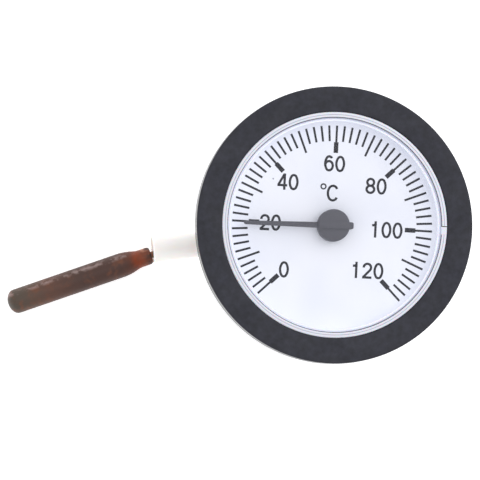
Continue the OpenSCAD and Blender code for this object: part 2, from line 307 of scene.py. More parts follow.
def linear(hex_colour: str) -> tuple[float, float, float, float]:
    """Turn an sRGB hex colour to the linear colour that shaders use, fully opaque."""
    channels = [int(hex_colour[i:i + 2], 16) / 255 for i in (1, 3, 5)]
    curve = [c / 12.92 if c <= 0.04045 else ((c + 0.055) / 1.055) ** 2.4 for c in channels]
    return (*curve, 1.0)


def link(tree: Tree, node: Node, sources: dict[str | int, Node | Socket]) -> None:
    """Feed a node's inputs, each from an output or from the first output of a node."""
    for socket, source in sources.items():
        output = source.outputs[0] if isinstance(source, Node) else source
        tree.links.new(output, node.inputs[socket])


def add_node(tree: Tree, kind: str, values: dict[str | int, object] | None = None,
             links: dict[str | int, Node | Socket] | None = None, **settings: object) -> Node:
    """Add a node with its settings and links.

    Args:
        tree: Node tree that the node joins.
        kind: The node's type name, without its ShaderNode prefix.
        values: Values of unlinked inputs.
        links: What feeds the other inputs.
        settings: The node's own properties.

    Returns:
        The new node.
    """
    node = tree.nodes.new("ShaderNode" + kind)
    for name, value in settings.items():
        setattr(node, name, value)
    for socket, value in (values or {}).items():
        node.inputs[socket].default_value = value
    link(tree, node, links or {})
    return node


def ramp_of(tree: Tree, source: Node, stops: list[tuple[float, str]]) -> Node:
    """Turn a value to a colour, by stops that are each a position and an sRGB hex colour."""
    ramp = add_node(tree, "ValToRGB", links={"Fac": source})
    elements = ramp.color_ramp.elements
    while len(elements) < len(stops):
        elements.new(0.5)
    for element, (position, colour) in zip(elements, stops):
        element.position = position
        element.color = linear(colour)
    return ramp


def millimetres(tree: Tree, stretch: Point = (1, 1, 1), turn: float = 0, centre: Point = (0, 0, 0)) -> Node:
    """Place on the piece in millimetres, about a centre, turned about Z and stretched.

    Args:
        tree: Node tree that it is for.
        stretch: Factor on each axis, under 1 to draw a pattern out along it.
        turn: Direction of the pattern's X axis in the frame, in degrees.
        centre: Where the pattern's zero is, in millimetres.

    Returns:
        The node that gives the place.
    """
    coords = add_node(tree, "TexCoord")
    moved = add_node(tree, "VectorMath", {1: Vector(centre) * MM}, {0: coords.outputs["Object"]},
                     operation="SUBTRACT")
    scaled = add_node(tree, "Mapping", {"Rotation": (0, 0, math.radians(-turn)),
                                        "Scale": Vector((1, 1, 1)) / MM}, {"Vector": moved})
    return add_node(tree, "VectorMath", {1: stretch}, {0: scaled}, operation="MULTIPLY")


@dataclass(frozen=True)
class Grain:
    """Noise of a real size: a grain in millimetres, its octaves, and its stretch on each axis."""

    size: float
    detail: float = 2
    stretch: Point = (1, 1, 1)

    def draw(self, tree: Tree, where: Node | None = None) -> Node:
        """Add the noise to a node tree, at places in millimetres or on the piece as it lies."""
        return add_node(tree, "TexNoise", {"Scale": 1 / self.size, "Detail": self.detail},
                        {"Vector": where or millimetres(tree, self.stretch)})


@dataclass(frozen=True)
class Finish:
    """What every finish has: a name, two colours, a roughness, and grains of its own.

    One grain raises the surface, one moves its tone between the two colours, and one its gloss.
    """

    name: str
    colour: str
    roughness: float = 0.5
    second_colour: str = "#ffffff"
    glow: float = 0

    sockets: ClassVar[dict[str, float]] = {}
    relief: ClassVar[Grain | None] = None
    relief_mm: ClassVar[float] = 0.006
    relief_share: ClassVar[float] = 0.5
    tone: ClassVar[Grain | None] = None
    tone_stops: ClassVar[tuple[float, float]] = (0.35, 0.8)
    gloss: ClassVar[Grain | None] = None
    gloss_spread: ClassVar[tuple[float, float]] = (0, 0.1)

    def start(self) -> tuple[bpy.types.Material, Node]:
        """Open a material on this finish's values and give it with its shader node."""
        material = bpy.data.materials.new(self.name)
        material.use_nodes = True
        material.diffuse_color = linear(self.colour)
        shader = material.node_tree.nodes["Principled BSDF"]
        values = {"Base Color": linear(self.colour), "Roughness": self.roughness,
                  "Emission Color": linear(self.colour), "Emission Strength": self.glow, **self.sockets}
        for name, value in values.items():
            shader.inputs[name].default_value = value
        return material, shader

    def raise_by(self, tree: Tree, shader: Node, height: Node) -> None:
        """Raise the surface by a height pattern from 0 to 1."""
        link(tree, shader, {"Normal": add_node(tree, "Bump", {
            "Distance": self.relief_mm * MM, "Strength": self.relief_share}, {"Height": height})})

    def build(self) -> bpy.types.Material:
        """Material with each of its grains at work."""
        material, shader = self.start()
        tree = material.node_tree
        if self.relief:
            self.raise_by(tree, shader, self.relief.draw(tree))
        if self.tone:
            stops = sorted(zip(self.tone_stops, (self.colour, self.second_colour)))
            link(tree, shader, {"Base Color": ramp_of(tree, self.tone.draw(tree), stops)})
        if self.gloss:
            low, high = (self.roughness + step for step in self.gloss_spread)
            link(tree, shader, {"Roughness": add_node(tree, "MapRange", {
                "From Min": 0.3, "From Max": 0.7, "To Min": low, "To Max": high},
                {"Value": self.gloss.draw(tree)})})
        return material


class TexturedAbs(Finish):
    """Black ABS from a spark-eroded mould: a fine even grain that scatters the light to dark grey."""

    sockets = {"Specular IOR Level": 0.42}
    relief = Grain(0.45, 3)
    relief_mm = 0.03
    relief_share = 0.8
    tone = Grain(1.5, 6)
    tone_stops = (0.3, 0.7)
    gloss = Grain(6)
    gloss_spread = (-0.05, 0.05)


class PolishedAbs(Finish):
    """ABS from a polished part of the mould: smooth, so that it mirrors pale surroundings at a glance."""

    sockets = {"Specular IOR Level": 0.24}
    relief = Grain(4)
    relief_mm = 0.01
    gloss = Grain(2)
    gloss_spread = (0, 0.06)


class ClearAcrylic(Finish):
    """Cast clear acrylic: all but invisible from the front, with a water-clear gloss."""

    sockets = {"IOR": 1.49, "Alpha": 0.02}
    gloss = Grain(9)
    gloss_spread = (0, 0.04)


class FrostedAcrylic(Finish):
    """Acrylic left satin by the mould: milky white where it is seen edge on.

    The wall that stands under the face is given a glow of its own: painted light that brightens its shaded
    inside.
    """

    sockets = {"IOR": 1.49, "Subsurface Weight": 0.25, "Subsurface Scale": 0.6 * MM}
    relief = Grain(0.3)
    gloss = Grain(3)


class StoveEnamel(Finish):
    """White stove enamel sprayed on sheet aluminium: cool white, satin, with the faintest orange peel."""

    sockets = {"Specular IOR Level": 0.1}
    relief = Grain(0.8)
    relief_mm = 0.004
    relief_share = 0.4
    tone = Grain(14, 1)
    tone_stops = (0.6, 0.25)


class ScreenInk(Finish):
    """Screen printing ink: dense dark grey with a matt skin, thinner in spots by the screen's mesh."""

    sockets = {"Specular IOR Level": 0.2}
    tone = Grain(0.3)
    tone_stops = (0.35, 0.75)
    gloss = Grain(0.3)
    gloss_spread = (-0.1, 0)


class MouldedGrey(Finish):
    """Grey moulded styrene: satin, with a little flow marking along the piece."""

    sockets = {"Specular IOR Level": 0.35}
    relief = Grain(0.3)
    tone = Grain(0.8, 3, (0.3, 1, 1))
    tone_stops = (0.3, 0.75)
    gloss = Grain(0.8, 3, (0.3, 1, 1))


class Working(Enum):
    """How a metal surface was made, as the grain of its tool marks."""

    TURNED = Grain(0.25, 3, (1, 1, 14))
    BRUSHED = Grain(0.25, 3, (0.05, 1, 1))
    ROLLED = Grain(0.25, 3, (0.4, 1, 0.4))
    BARREL_FINISHED = Grain(0.25, 3)


@dataclass(frozen=True)
class WorkedMetal(Finish):
    """Bare metal with the marks of how it was worked, and a thin tarnish in patches."""

    working: Working = Working.BARREL_FINISHED

    sockets = {"Metallic": 1.0}
    relief_share = 0.4
    tone = Grain(5, 4)
    gloss_spread = (-0.06, 0.1)

    @property
    def relief(self) -> Grain:
        """Tool marks stand up from the surface."""
        return self.working.value

    @property
    def gloss(self) -> Grain:
        """Tool marks break the gloss too."""
        return self.working.value


class PvcSheath(Finish):
    """Extruded white PVC: soft gloss, faintly milky, with dust in its skin and a slow extrusion wave."""

    sockets = {"Specular IOR Level": 0.4, "Subsurface Weight": 0.12, "Subsurface Scale": 0.8 * MM}
    relief = Grain(1.5)
    relief_mm = 0.02
    relief_share = 0.4
    tone = Grain(2.5, 4)
    tone_stops = (0.55, 0.3)
    gloss = Grain(1)
    gloss_spread = (0, 0.12)


class MilkyPvc(PvcSheath):
    """Soft PVC with less filler: more light gets into it, and the guard's glow is painted light that keeps
    its shaded side pale.
    """

    sockets = PvcSheath.sockets | {"Subsurface Weight": 0.3}


class BlackNylon(Finish):
    """Moulded black nylon: slightly pearly black, satin, lighter where it has been handled."""

    relief = Grain(0.25)
    relief_mm = 0.01
    tone = Grain(1.6, 4)
    gloss = Grain(0.6)
    gloss_spread = (0, 0.15)


class LightTable(Finish):
    """Opal acrylic of a light table: plain white, matt, lit from below so that shadows stay pale."""

    sockets = {"Specular IOR Level": 0.1}


@dataclass(frozen=True)
class OxidisedCopper(Finish):
    """Drawn copper tube browned by heat and use: dull oxide, a painted highlight, orange flame colours.

    The oxide is a rough dark brown that is grey-green at the tip. Along the crown a broken pinkish
    band of painted highlight lies on smoother metal, and the swaged neck keeps the orange of the
    brazing flame.
    """

    axis_angle: float = 0
    tip: Point = (0, 0, 0)
    length: float = 36
    crown: float = 1.95
    stain: str = "#714530"
    # colour of the painted highlight along the crown
    crown_highlight: str = "#907c78"

    sockets = {"Specular IOR Level": 0.25}
    relief_mm = 0.03
    relief_share = 0.6
    # roughness under the painted highlight
    highlight_roughness: ClassVar[float] = 0.3
    blotches: ClassVar[Grain] = Grain(3.2, 5)
    specks: ClassVar[Grain] = Grain(1.5, 4)
    draw_rings: ClassVar[Grain] = Grain(0.9)
    oxide_stops: ClassVar[list[tuple[float, str]]] = [
        (0.0, "#4c463e"), (0.14, "#55443a"), (0.28, "#5a3f35"), (0.5, "#4a3630"), (0.78, "#4d352e"),
        (0.85, "#5f382b"), (0.9, "#863c20"), (0.95, "#6c3c2a"), (0.99, "#3f2e29")]

    def build(self) -> bpy.types.Material:
        """Material whose colours follow the tube's length, with blotches and draw marks."""
        material, shader = self.start()
        tree = material.node_tree
        add = partial(add_node, tree)
        along = millimetres(tree, (1, 1, 1), self.axis_angle, self.tip)
        place_on = add("SeparateXYZ", links={"Vector": along})
        blotch = self.blotches.draw(tree, along)
        speck = self.specks.draw(tree, along)
        rings = self.draw_rings.draw(tree, millimetres(tree, (1, 0.12, 0.12), self.axis_angle, self.tip))

        # how far along the tube, wandering a little so that no colour ends in a straight line
        wander = add("MapRange", {"To Min": -0.07, "To Max": 0.07}, {"Value": blotch})
        share = add("Math", {1: self.length}, {0: place_on.outputs["X"]}, operation="DIVIDE")
        distance = add("Math", links={0: share, 1: wander}, operation="ADD")
        oxide = ramp_of(tree, distance, self.oxide_stops)
        warm = add("MapRange", {"From Min": 0.4, "From Max": 0.78}, {"Value": speck})
        patch = add("MapRange", {"From Min": 0.45, "From Max": 0.66}, {"Value": blotch})
        rust = add("Math", links={0: warm, 1: patch}, operation="MULTIPLY")

        # painted highlight along the crown, broken up by specks, where the metal is also smoother
        off_crown = add("Math", {1: self.crown}, {0: place_on.outputs["Y"]}, operation="SUBTRACT")
        aside = add("Math", links={0: off_crown}, operation="ABSOLUTE")
        crown = add("MapRange", {"From Min": 0.8, "From Max": 0.0, "To Max": 0.8}, {"Value": aside})
        highlight_breaks = add("MapRange", {"From Min": 0.46, "From Max": 0.62}, {"Value": speck})
        painted_highlight = add("Math", links={0: crown, 1: highlight_breaks}, operation="MULTIPLY")

        # the mix node's colours are inputs 6 and 7, and its colour output is the third
        colour = oxide
        for cover, over in ((rust, self.stain), (painted_highlight, self.crown_highlight)):
            colour = add("Mix", {7: linear(over)}, {0: cover, 6: colour}, data_type="RGBA").outputs[2]
        smooth = add("MapRange", {"To Min": self.roughness, "To Max": self.highlight_roughness}, {"Value": painted_highlight})
        link(tree, shader, {"Base Color": colour, "Roughness": smooth})
        self.raise_by(tree, shader, add("Math", links={0: rings, 1: speck}, operation="ADD"))
        return material


BEZEL_BLACK = TexturedAbs("black_abs_spark_eroded", "#161720", 0.62, "#272833")
RIM_BLACK = PolishedAbs("black_abs_polished", "#1c1b20", 0.2)
LENS_CLEAR = ClearAcrylic("clear_cast_acrylic", "#f4f7ff", 0.06)
LENS_FROSTED = FrostedAcrylic("satin_acrylic", "#d9dbe4", 0.4)
# the skirt's glow is painted light that brightens its shaded inner wall
LENS_WALL_GLOW = FrostedAcrylic("acrylic_wall_painted_glow", "#e4e6ee", 0.4, glow=0.3)
# the mould line's grey is painted shade in its shallow groove
LENS_LINE_SHADE = FrostedAcrylic("mould_line_painted_shade", "#c6c8d2", 0.5)
# the gap's dark grey is painted shade in the narrow groove round the window
LENS_GAP_SHADE = ScreenInk("lens_gap_painted_shade", "#5c5c67", 0.6, "#686874")
DIAL_WHITE = StoveEnamel("white_stove_enamel", "#ebedf5", 0.5, "#e3e6f0")
DIAL_INK = ScreenInk("screen_printed_ink", "#17171e", 0.8, "#222229")
# the punch mark's grey is painted shade of a dent that is not modelled as a hollow
DIMPLE_SHADE = ScreenInk("punch_mark_painted_shade", "#9fa1ab", 0.7, "#b4b6c0")
POINTER_GREY = MouldedGrey("grey_styrene", "#45454d", 0.5, "#4e4e57")
BRASS = WorkedMetal("stamped_brass", "#c8a860", 0.34, "#9c7c44", working=Working.BRUSHED)
TURNED_BRASS = WorkedMetal("turned_brass", "#cfae66", 0.28, "#a5844a", working=Working.TURNED)
STEEL = WorkedMetal("ground_steel", "#c4c7cc", 0.26, "#9b9da2", working=Working.TURNED)
ZINC = WorkedMetal("zinc_plated_steel", "#b9bcc4", 0.36, "#8f9198")
BRONZE = WorkedMetal("phosphor_bronze", "#b08048", 0.32, "#86602f", working=Working.ROLLED)
SPRING_STEEL = WorkedMetal("tempered_spring_steel", "#a3a7ae", 0.33, "#777b84", working=Working.ROLLED)
TUBE_COPPER = WorkedMetal("drawn_copper", "#b87552", 0.36, "#7d4c37", working=Working.ROLLED)
TAIL_COPPER = WorkedMetal("tarnished_copper", "#86614f", 0.45, "#55392d", working=Working.ROLLED)
SHEATH_WHITE = PvcSheath("white_pvc_sheath", "#f3f1ec", 0.38, "#e6e2da")
# the guard's glow is painted light on its shaded side
GUARD_MILKY_GLOW = MilkyPvc("milky_pvc_guard_painted_glow", "#f5f3ef", 0.6, "#eeebe5", glow=0.2)
NYLON = BlackNylon("black_nylon", "#1c1c20", 0.45, "#34343a")
TABLE_WHITE = LightTable("opal_light_table", "#ffffff", 0.42, glow=0.5)


def dress(piece: Piece, *finishes: Finish) -> None:
    """Give a piece its finishes, one material slot for each."""
    piece.data.materials.clear()
    for finish in finishes:
        piece.data.materials.append(bpy.data.materials.get(finish.name) or finish.build())


def dress_faces(piece: Piece, slot: int, wanted: Callable[[Face], bool]) -> None:
    """Give the faces that pass a test the finish in one of a piece's slots."""
    for face in piece.data.polygons:
        if wanted(face):
            face.material_index = slot


def settle(piece: Piece, body: str, slot: str, nodes: list[str], smooth: float,
           *finishes: Finish) -> Piece:
    """Shade and dress a piece, ride it on a body, and hide the CAD nodes it stands for.

    Args:
        piece: The finished piece.
        body: The body that carries it.
        slot: The record's material slot; not used.
        nodes: CAD nodes that it replaces.
        smooth: Angle in degrees under which its edges are shaded smooth, or 0 to leave them.
        finishes: Its finishes, one for each material slot.

    Returns:
        The piece.
    """
    if smooth:
        pick_up(piece)
        bpy.ops.object.shade_smooth_by_angle(angle=math.radians(smooth))
    dress(piece, *finishes)
    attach(piece, body)
    if nodes:
        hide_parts(*nodes)
    faces = len(piece.data.polygons) if piece.type == "MESH" else 0
    log.info("%s: %d faces, rides on %s", piece.name, faces, body)
    return piece


# ---------------------------------------------------------------- studio


@dataclass
class Studio:
    """Camera, soft lights and the light table that the thermometer lies on."""

    aim: Point = (0, 0, 5.5)
    distance: float = 1200
    from_left: float = 6.8
    from_below: float = 3.0
    roll: float = 3.2
    width_at_aim: float = 114.03
    dial_right_of_centre: float = 22.59
    dial_above_centre: float = 3.64
    sensor: float = 36
    floor_z: float = -30
    floor_size: float = 3000
    floor_thick: float = 4
    softboxes: tuple[tuple[str, Point, tuple[float, float], float], ...] = (
        ("key_softbox", (240, 200, 1150), (760, 760), 2.8),
        ("side_softbox", (260, 130, 190), (200, 200), 0.16),
        ("low_strip", (-60, 700, 110), (700, 160), 0.8))
    room_colour: str = "#fdfdff"
    room_light: float = 0.9

    def camera(self) -> None:
        """Set up the camera, a little to the left of the dial's axis and turned with its roll."""
        roll = math.radians(self.roll)
        right = Vector((math.cos(roll), math.sin(roll), 0))
        up = Vector((-math.sin(roll), math.cos(roll), 0))
        back = (Vector((0, 0, 1)) - math.tan(math.radians(self.from_left)) * right
                - math.tan(math.radians(self.from_below)) * up).normalized()
        across = (right - right.dot(back) * back).normalized()
        upright = back.cross(across)
        look = (-back - self.dial_right_of_centre / self.distance * across
                - self.dial_above_centre / self.distance * upright).normalized()
        across = (across - across.dot(look) * look).normalized()
        upright = across.cross(look)
        turn = Matrix((across, upright, -look)).transposed().to_4x4()
        bpy.ops.object.camera_add()
        camera = bpy.context.object
        camera.name = "studio_camera"
        camera.matrix_world = Matrix.Translation((Vector(self.aim) + self.distance * back) * MM) @ turn
        camera.data.sensor_width = self.sensor
        camera.data.lens = self.sensor * self.distance / self.width_at_aim
        camera.data.clip_start = 0.01
        camera.data.clip_end = 20
        bpy.context.scene.camera = camera

    def softbox(self, name: str, place_mm: Point, size: tuple[float, float], watts: float) -> None:
        """Hang a rectangular white softbox that faces the dial.

        Args:
            name: Name of the light.
            place_mm: Its middle, in millimetres.
            size: Its width and height in millimetres.
            watts: Its power.
        """
        bpy.ops.object.light_add(type="AREA", location=Vector(place_mm) * MM)
        light = bpy.context.object
        light.name = name
        light.rotation_euler = (-Vector(place_mm)).to_track_quat("-Z", "Y").to_euler()
        light.data.shape = "RECTANGLE"
        light.data.size = size[0] * MM
        light.data.size_y = size[1] * MM
        light.data.energy = watts
        light.visible_camera = False

    def lights(self) -> None:
        """Light the dial from the upper right, with a low strip above it and a bright even room."""
        for softbox in self.softboxes:
            self.softbox(*softbox)
        world = bpy.data.worlds.new("pale_room")
        world.use_nodes = True
        background = world.node_tree.nodes["Background"]
        background.inputs["Color"].default_value = linear(self.room_colour)
        background.inputs["Strength"].default_value = self.room_light
        bpy.context.scene.world = world
        bpy.context.scene.view_settings.view_transform = "Standard"
        bpy.context.scene.view_settings.look = "None"

    def floor(self) -> None:
        """Lay the light table that the object stands on."""
        half, top = self.floor_size / 2, self.floor_z
        table = block("light_table", (-half, -half, top - self.floor_thick), (half, half, top))
        soften_edges(table, 2)
        dress(table, TABLE_WHITE)


# ---------------------------------------------------------------- capillary


@dataclass
class Capillary:
    """One metre of sheathed capillary: from the gland, through its wound coil, to the guard sleeve."""

    diameter: float = 2.5
    length: float = 997.3
    lead: list[Point] = field(default_factory=lambda: [
        (-7, 17.5, -22.2), (-4.5, 17.5, -22.15), (-2, 17.5, -21.9), (1, 17.5, -21.3),
        (4, 17.5, -20.95), (7, 17.5, -20.85), (10, 17.5, -20.85)])
    run: list[Point] = field(default_factory=lambda: [
        (10, -17.5, -28.35), (4, -17.5, -28.5), (0.5, -17, -28.7), (-2.7, -15.6, -28.75),
        (-5.4, -13.2, -28.75), (-7.4, -10.3, -28.75), (-9.7, -7.1, -28.7), (-13, -4.75, -28.4),
        (-16.7, -3.5, -27.9), (-20.6, -3.5, -27.65), (-24.6, -4.1, -27.6), (-28.5, -4.7, -27.6),
        (-32.5, -5.3, -27.6), (-36.5, -5.9, -27.6)])
    coil_middle: tuple[float, float] = (10, 0)
    coil_top: float = -19.6
    outer_radius: float = 17.5
    pitch: float = 2.6
    turns: float = 10.5
    layers: int = 4
    points_per_turn: int = 24
    step_over: float = 50 / 360

    def coil(self) -> list[Point]:
        """Wind the coil layer by layer, in on one and out on the next, down its height."""
        per_layer = self.turns / self.layers
        count = int(self.turns * self.points_per_turn)
        points = []
        for i in range(1, count):
            turn = i / count * self.turns
            layer = min(int(turn / per_layer), self.layers - 1)
            done = turn - layer * per_layer
            inward = done if layer % 2 == 0 else per_layer - done
            radius = self.outer_radius - self.pitch * inward
            z = self.coil_top - self.diameter / 2 - layer * self.diameter
            past = done - per_layer
            if layer < self.layers - 1 and past > -self.step_over / 2:
                z -= self.diameter * self.ease((past + self.step_over / 2) / self.step_over)
            if layer > 0 and done < self.step_over / 2:
                z += self.diameter * (1 - self.ease((done + self.step_over / 2) / self.step_over))
            angle = math.radians(90 - 360 * turn)
            points.append((self.coil_middle[0] + radius * math.cos(angle),
                           self.coil_middle[1] + radius * math.sin(angle), z))
        return points

    @staticmethod
    def ease(share: float) -> float:
        """Smooth step from 0 to 1."""
        return share * share * (3 - 2 * share)

    def build(self) -> Piece:
        """Lay the cord as one smooth curve and dress it in white PVC."""
        route = self.lead + self.coil() + self.run
        curve = bpy.data.curves.new("capillary_cord", "CURVE")
        curve.dimensions = "3D"
        spline = curve.splines.new("BEZIER")
        spline.bezier_points.add(len(route) - 1)
        for knot, point in zip(spline.bezier_points, route):
            knot.co = Vector(point) * MM
            knot.handle_left_type = "AUTO"
            knot.handle_right_type = "AUTO"
        curve.resolution_u = 4
        curve.bevel_depth = self.diameter / 2 * MM
        curve.bevel_resolution = 4
        curve.use_fill_caps = True
        cord = bpy.data.objects.new("capillary_cord", curve)
        bpy.context.scene.collection.objects.link(cord)
        return settle(cord, "gauge", "pvc_white", ["capillary_lead", "capillary_coil", "capillary_run"], 0,
                      SHEATH_WHITE)


@dataclass
class CoilTies:
    """Three nylon ties round the coil, each a strap with a ratchet head."""

    middle: tuple[float, float] = (10, 0)
    angles: tuple[float, ...] = (0, 130, 230)
    inner: float = 9.05
    outer: float = 19.1
    bottom: float = -29.6
    top: float = -19.6
    thick: float = 0.4
    width: float = 3.0
    head: Point = (1.7, 3.8, 3.6)
    head_z: float = -25.4
    head_rim: float = 0.7
    head_hollow: float = 0.5

    def strap(self) -> Piece:
        """Make one tie along X: a flat loop bridged out of a block, and its head outside."""
        wide = self.width / 2
        loop = block("tie_strap", (self.inner - self.thick, -wide, self.bottom - self.thick),
                     (self.outer + self.thick, wide, self.top + self.thick))
        with editing(loop, lambda face: abs(face.normal.y) > 0.9):
            bpy.ops.mesh.inset(thickness=self.thick * MM)
            bpy.ops.mesh.bridge_edge_loops()
        tidy_mesh(loop)
        head_x = self.outer + self.thick - 0.1
        head = block("tie_head", (head_x, -self.head[1] / 2, self.head_z - self.head[2] / 2),
                     (head_x + self.head[0], self.head[1] / 2, self.head_z + self.head[2] / 2))
        with editing(head, lambda face: face.normal.x > 0.9):
            bpy.ops.mesh.inset(thickness=self.head_rim * MM)
            push((-self.head_hollow, 0, 0))
        tail = block("tie_tail", (head_x + 0.2, -1.2, self.head_z + 1.5),
                     (head_x + 0.65, 1.2, self.head_z + 2.9))
        combine(loop, [head, tail], Joining.UNION)
        soften_edges(loop, 0.12)
        return loop

    def build(self) -> list[Piece]:
        """Copy the tie to its three places round the coil."""
        pattern = self.strap()
        ties = []
        for letter, angle in zip("abc", self.angles):
            tie = copy_of(pattern, f"coil_tie_{letter}", shifted(*self.middle, 0) @ turned(angle))
            ties.append(settle(tie, "gauge", "tie_black", ["coil_ties"], 35, NYLON))
        bpy.data.objects.remove(pattern)
        return ties


@dataclass
class Bulb:
    """Sensing bulb: a closed copper tube with a swaged shoulder and a brazed plug in its neck."""

    root: Point = (-40.9, -8, -27.05)
    angle: float = 202.07
    radius: float = 2.95
    length: float = 36.6
    neck: float = 2.15
    neck_length: float = 3.4
    shoulder: float = 3.6
    dome: float = 2.1
    wall: float = 0.5
    end_radius: float = 1.75

    def along(self) -> Matrix:
        """Matrix that lays the lathe's axis along the bulb, from its neck to its tip."""
        return shifted(*self.root) @ turned(self.angle) @ turned(90, "Y")

    def tube(self) -> Piece:
        """Turn the tube with its wall, rounded tip and shoulder, and soften it as drawn copper is."""
        r, neck, neck_end = self.radius, self.neck, self.neck_length
        start, tip = neck_end + self.shoulder, self.length - self.dome
        outline = [(neck, neck_end - 0.4), (neck + 0.05, neck_end), (neck + 0.22, neck_end + 0.7),
                   (neck + 0.45, neck_end + 1.5), (neck + 0.62, start - 1.2), (r - 0.06, start - 0.4),
                   (r, start + 0.4)]
        outline += [(r, start + (tip - start) * i / 10) for i in range(1, 10)]
        outline += arc((0, tip), r, 0, 90, 10, self.dome)
        outline += arc((0, tip - 0.3), r - self.wall, 90, 0, 6, 1.8)
        outline += [(r - self.wall, start + 0.5), (neck - 0.5, neck_end - 0.4), (neck, neck_end - 0.4)]
        tube = turn_on_lathe("bulb_tube", outline, 72)
        place(tube, self.along())
        return settle(tube, "gauge", "copper_patina", ["bulb_shell"], 50, OxidisedCopper(
            "oxidised_copper_tube", "#5e4238", axis_angle=self.angle - 180, tip=self.tip_place(),
            length=self.length))

    def tip_place(self) -> Point:
        """Where the axis meets the tip, in millimetres."""
        reach = math.radians(self.angle)
        return (self.root[0] + self.length * math.cos(reach), self.root[1] + self.length * math.sin(reach),
                self.root[2])

    def plug(self) -> Piece:
        """Turn the brazed plug: a rounded nose that ends flush with the neck, and a stem inside it."""
        flush, neck = self.neck_length - 0.4, self.neck
        nose = arc((self.end_radius, 0.9), neck - self.end_radius, -90, 0, 6, 0.9)
        plug = turn_on_lathe("bulb_plug", [
            (0, 0.35), (0.75, 0.3), (0.95, 0), *nose, (neck - 0.02, flush), (neck - 0.5, flush),
            (neck - 0.5, flush + 1.4), (0, flush + 1.4)], 48)
        place(plug, self.along())
        # the plug's pinkish crown band is painted highlight, as on the tube
        return settle(plug, "gauge", "copper_bright", ["bulb_neck"], 50, OxidisedCopper(
            "flame_coloured_copper", "#a4502a", 0.42, axis_angle=self.angle - 180, tip=self.tip_place(),
            length=self.length, stain="#b9582c", crown_highlight="#c08a70"))


@dataclass
class GuardSleeve:
    """Milky PVC guard over the end of the capillary, flared where it meets the bulb."""

    mouth: Point = (-40.65, -6.5, -26.55)
    angle: float = 8.4
    mouth_radius: float = 3.45
    thin_radius: float = 3.05
    wall: float = 0.7
    flare: float = 10
    length: float = 20

    def build(self) -> Piece:
        """Turn the sleeve's wall, with a rolled lip at its mouth and a cut end."""
        big, thin, wall = self.mouth_radius, self.thin_radius, self.wall
        lip = arc((big - wall / 2, wall / 2), wall / 2, 180, 360, 8)
        flare = [(thin + (big - thin) * (1 - i / 6) ** 1.6, self.flare * i / 6) for i in range(1, 7)]
        cut = arc((thin - 0.12, self.length - 0.12), 0.12, 0, 90, 3)
        outline = [*lip, *flare, *cut, (thin - wall, self.length), (thin - wall, self.flare),
                   (big - wall, wall / 2)]
        sleeve = turn_on_lathe("guard_sleeve_tube", outline, 72)
        place(sleeve, shifted(*self.mouth) @ turned(self.angle) @ turned(90, "Y"))
        return settle(sleeve, "gauge", "sleeve_white", ["guard_sleeve"], 40, GUARD_MILKY_GLOW)


@dataclass
class OutletGland:
    """Nylon gland that turns the capillary out sideways, with a ribbed strain relief."""

    middle: tuple[float, float] = (-16, 17.5)
    top: float = -19
    bottom: float = -26
    body_radius: float = 4.5
    nozzle_z: float = -22.2
    nozzle_start: float = 4.6
    nozzle_end: float = 9
    ribs: int = 5
    flutes: int = 12

    def body(self) -> Piece:
        """Turn the upright body and cut finger flutes round it."""
        r = self.body_radius
        nut = [(0, -15.98), (2.95, -15.98), (3.1, -16.15), (3.1, -17), (2.55, -17), (2.55, self.top)]
        shell = [(r, self.top), (r, -20.4), (r - 0.25, -20.7), (r - 0.25, self.bottom + 1)]
        foot = arc((r - 1.2, self.bottom + 0.95), 0.95, 0, -90, 5)
        body = turn_on_lathe("strain_relief", nut + shell + foot + [(0, self.bottom)], 64)
        flute = turn_on_lathe("flute", [(0, self.bottom - 1), (0.5, self.bottom - 1), (0.5, -21.2),
                                        (0.25, -20.95), (0, -20.9)], 12)
        angles = [360 * (i + 0.5) / self.flutes for i in range(self.flutes)]
        combine(body, [join("flutes", ring_of(flute, angles, r + 0.05))], Joining.CUT)
        return place(body, shifted(*self.middle, 0))

    def nozzle(self) -> Piece:
        """Turn the tapering nozzle with its soft ribs, along X."""
        outline = [(0, 2.5), (2.7, 2.5)]
        first, last = self.nozzle_start, self.nozzle_end
        step = (last - first) / self.ribs
        for i in range(self.ribs):
            at = first + i * step
            radius = 2.55 - 0.75 * (at - first) / (last - first)
            outline += [(radius, at), (radius, at + step * 0.55), (radius - 0.35, at + step * 0.68),
                        (radius - 0.35, at + step * 0.92)]
        outline += [(1.8, last - 0.1), (1.7, last), (0, last)]
        nozzle = turn_on_lathe("nozzle", outline, 48)
        return place(nozzle, shifted(*self.middle, self.nozzle_z) @ turned(90, "Y"))

    def build(self) -> Piece:
        """Join the nozzle to the body."""
        body = self.body()
        combine(body, [self.nozzle()], Joining.UNION)
        return settle(body, "gauge", "gland_black", ["outlet_gland"], 35, NYLON)


# ---------------------------------------------------------------- head of the instrument


